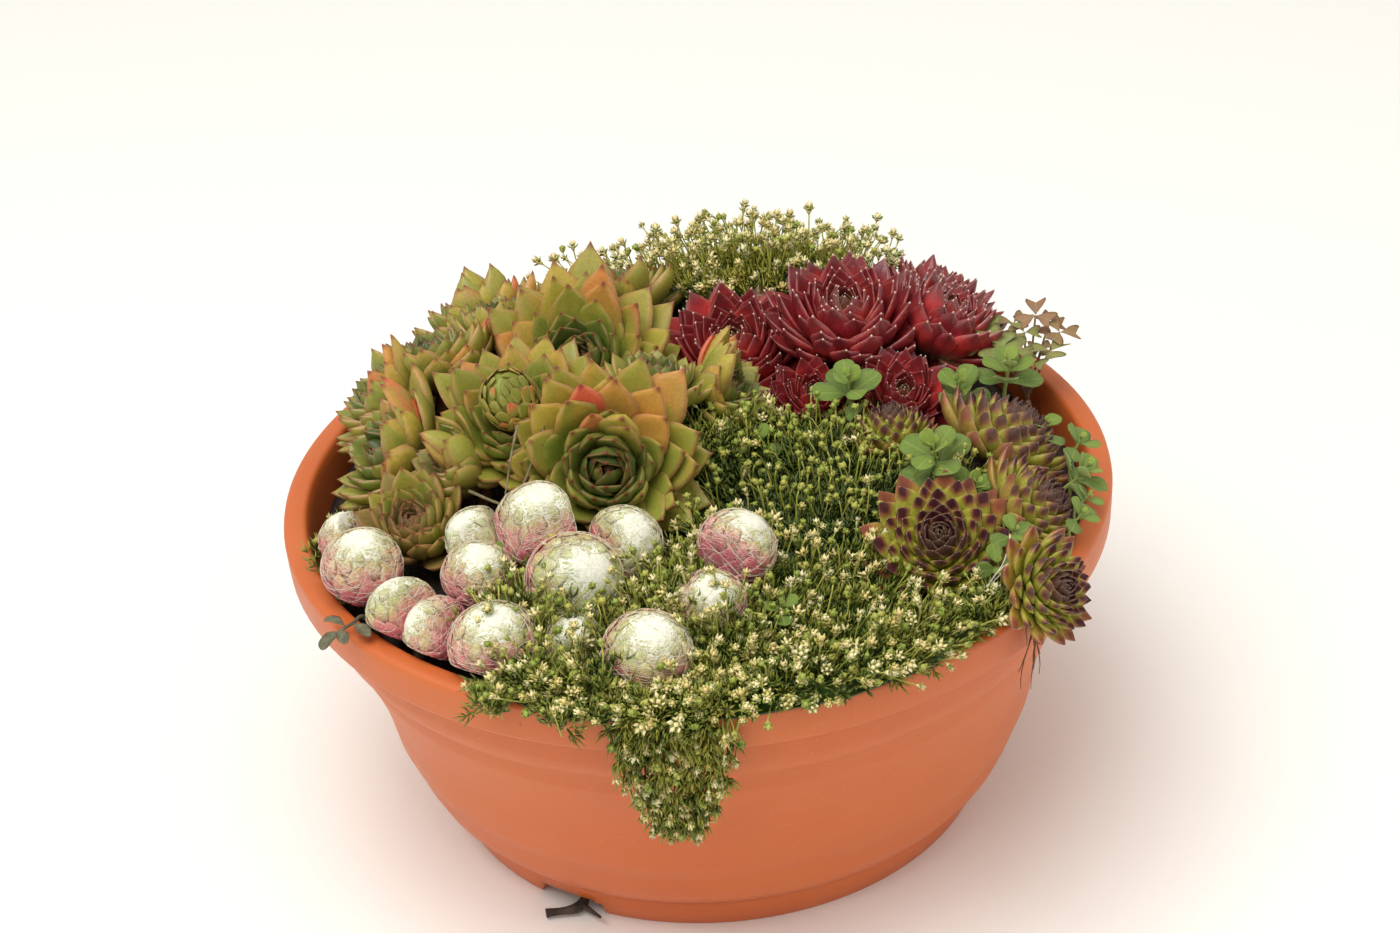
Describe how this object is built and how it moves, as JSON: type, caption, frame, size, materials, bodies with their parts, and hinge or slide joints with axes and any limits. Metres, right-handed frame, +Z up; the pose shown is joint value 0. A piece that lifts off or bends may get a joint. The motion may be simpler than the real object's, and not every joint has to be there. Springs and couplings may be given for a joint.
{
  "type": "planted bowl of hens and chicks",
  "caption": "Round stepped plastic bowl planted with green, red, purple-tipped and cobweb houseleek rosettes among pearlwort that spills over its rim.",
  "frame": {"origin": "on the bowl's axis, in the plane that its foot ring stands on", "axes": "+Z up, -Y towards the front of the planting, where it spills over the rim"},
  "size_m": [0.3, 0.3083, 0.1827],
  "materials": {
    "bowl": "satin moulded plastic, terracotta orange",
    "soil": "dull dark peat",
    "roots": "dull brown root",
    "twig": "dull grey-green",
    "sorrel": "dull olive and brown leaf",
    "green_leaves": "waxy yellow-green leaf with an orange blush",
    "red_leaves": "waxy burgundy leaf",
    "purple_leaves": "waxy green leaf with a maroon tip",
    "cobweb_leaves": "pale web of hairs over green and pink leaves",
    "oregano_leaves": "soft matt green leaf",
    "pearlwort": "fine green needles with cream flower heads"
  },
  "bodies": {
    "root": {"bowl": "bowl", "soil": "soil", "drain_root": "roots", "green_front": "green_leaves", "green_budding": "green_leaves", "green_front_left": "green_leaves", "green_low": "green_leaves", "green_side": "green_leaves", "green_edge": "green_leaves", "green_left": "green_leaves", "green_top": "green_leaves", "green_behind_top": "green_leaves", "green_middle": "green_leaves", "green_right": "green_leaves", "green_back": "green_leaves", "green_far_back": "green_leaves", "red_low_left": "red_leaves", "red_low_middle": "red_leaves", "red_low_right": "red_leaves", "red_left": "red_leaves", "red_middle": "red_leaves", "red_right": "red_leaves", "red_back": "red_leaves", "purple_overhang": "purple_leaves", "purple_front": "purple_leaves", "purple_side": "purple_leaves", "purple_right": "purple_leaves", "purple_small": "purple_leaves", "cobweb_a": "cobweb_leaves", "cobweb_b": "cobweb_leaves", "cobweb_c": "cobweb_leaves", "cobweb_d": "cobweb_leaves", "cobweb_e": "cobweb_leaves", "cobweb_f": "cobweb_leaves", "cobweb_g": "cobweb_leaves", "cobweb_h": "cobweb_leaves", "cobweb_i": "cobweb_leaves", "cobweb_j": "cobweb_leaves", "cobweb_k": "cobweb_leaves", "cobweb_l": "cobweb_leaves", "cobweb_m": "cobweb_leaves", "cobweb_n": "cobweb_leaves", "oregano_stray": "oregano_leaves", "oregano_front": "oregano_leaves", "oregano_rim_front": "oregano_leaves", "oregano_middle": "oregano_leaves", "oregano_right": "oregano_leaves", "oregano_tall": "oregano_leaves", "pearlwort_middle": "pearlwort", "pearlwort_front": "pearlwort", "pearlwort_back": "pearlwort", "runner": "roots", "twig": "twig", "sorrel": "sorrel"}
  },
  "joints": []
}
